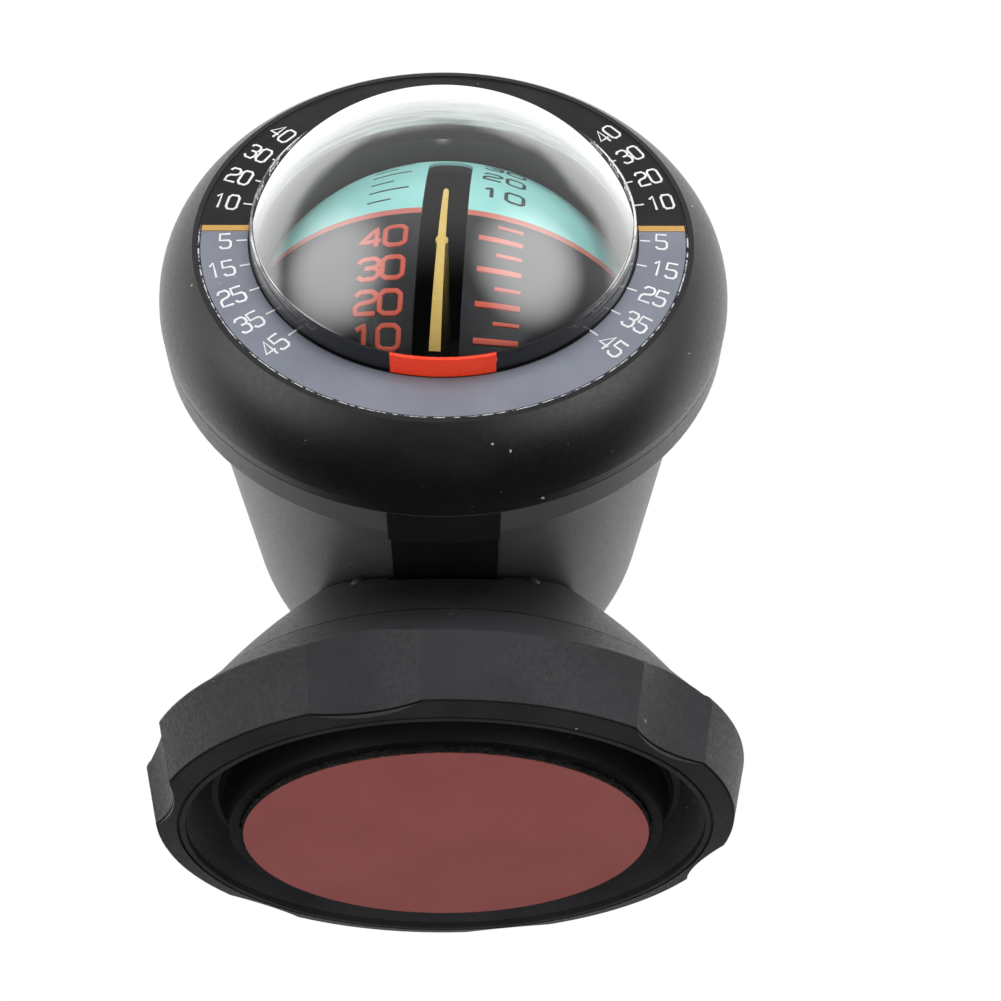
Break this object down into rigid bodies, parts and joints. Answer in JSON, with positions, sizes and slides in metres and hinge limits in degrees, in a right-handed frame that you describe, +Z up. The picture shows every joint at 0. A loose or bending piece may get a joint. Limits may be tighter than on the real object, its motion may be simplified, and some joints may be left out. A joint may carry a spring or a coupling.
{
  "type": "ball inclinometer",
  "caption": "Liquid-damped ball inclinometer for a dashboard: domed dial head that tilts on a ball joint above a swivelling cone and a stick-on base with a lobed grip ring.",
  "frame": {"origin": "centre of the release paper's outer face, on the swivel axis", "axes": "+Z up away from the dashboard along the swivel axis, dial faces -Y at rest, +X to the right of someone facing the dial"},
  "size_m": [0.073, 0.0999, 0.0853],
  "materials": {
    "paper": "maroon waxed release paper",
    "foam": "closed-cell foam",
    "base_plastic": "moulded ABS",
    "felt": "thin felt",
    "grip_plastic": "fine-textured ABS",
    "cone_plastic": "fine-textured ABS",
    "nylon": "natural nylon",
    "shell_plastic": "matt ABS",
    "bezel_plastic": "satin ABS",
    "dial_black": "matt black print",
    "dial_slate": "slate blue-grey print",
    "gold": "gold",
    "collar_plastic": "gloss black",
    "red_plastic": "red",
    "clear_plastic": "clear polycarbonate",
    "bowl_plastic": "black inside",
    "seal_rubber": "nitrile",
    "screw_steel": "zinc plated",
    "spring_steel": "spring steel",
    "liquid": "clear damping liquid",
    "shaft_steel": "ground steel",
    "weight_metal": "weight",
    "float_dark": "dark grey",
    "float_pale": "pale cyan",
    "band_red": "salmon red"
  },
  "bodies": {
    "base": {"release_paper": "paper", "foam_tape": "foam", "pad_plate": "base_plastic", "felt_washer": "felt", "swivel_washer": "screw_steel", "swivel_screw": "screw_steel"},
    "grip_ring": {"grip_ring": "grip_plastic"},
    "neck": {"neck_cone": "cone_plastic", "friction_seat": "nylon", "swivel_plate": "base_plastic", "swivel_plate_screws": "screw_steel", "clamp_shoe": "nylon", "clamp_spring": "spring_steel", "clamp_screw": "screw_steel", "clamp_nut": "screw_steel"},
    "head": {"rear_housing": "shell_plastic", "key_rib": "shell_plastic", "bezel_ring": "bezel_plastic", "dial_ring": "dial_black", "dial_lower_inlay": "dial_slate", "level_marks": "gold", "window_ring": "collar_plastic", "index_bar": "red_plastic", "clear_dome": "clear_plastic", "capsule_bowl": "bowl_plastic", "dome_seal": "seal_rubber", "capsule_screws": "screw_steel", "fill_plug": "seal_rubber", "expansion_diaphragm": "seal_rubber", "damping_liquid": "liquid", "roll_bearing": "nylon"},
    "roll_frame": {"roll_shaft": "shaft_steel", "roll_yoke": "nylon", "roll_weight": "weight_metal", "cross_shaft": "shaft_steel", "needle_arm": "gold", "needle": "gold"},
    "float": {"float_lower_shell": "float_dark", "float_upper_shell": "float_pale", "horizon_band": "band_red", "float_hubs": "nylon", "float_weight": "weight_metal"}
  },
  "joints": [
    {"name": "base_swivel", "type": "hinge", "parent": "base", "child": "neck", "pos_m": [0, 0, 0.0118], "axis": [0, 0, 1], "continuous": true},
    {"name": "ring_turn", "type": "hinge", "parent": "base", "child": "grip_ring", "pos_m": [0, 0, 0.007], "axis": [0, 0, 1], "range_deg": [0, 60]},
    {"name": "head_tilt", "type": "hinge", "parent": "neck", "child": "head", "pos_m": [0, 0, 0.051], "axis": [-1, 0, 0], "range_deg": [-1.5, 38.5]},
    {"name": "roll_swing", "type": "hinge", "parent": "head", "child": "roll_frame", "pos_m": [0, -0.02619, 0.05169], "axis": [0, -0.9997, 0.0262], "continuous": true},
    {"name": "float_pitch", "type": "hinge", "parent": "roll_frame", "child": "float", "pos_m": [0, -0.02619, 0.05169], "axis": [-0.9981, 0.0016, 0.061], "range_deg": [-40, 40]}
  ]
}
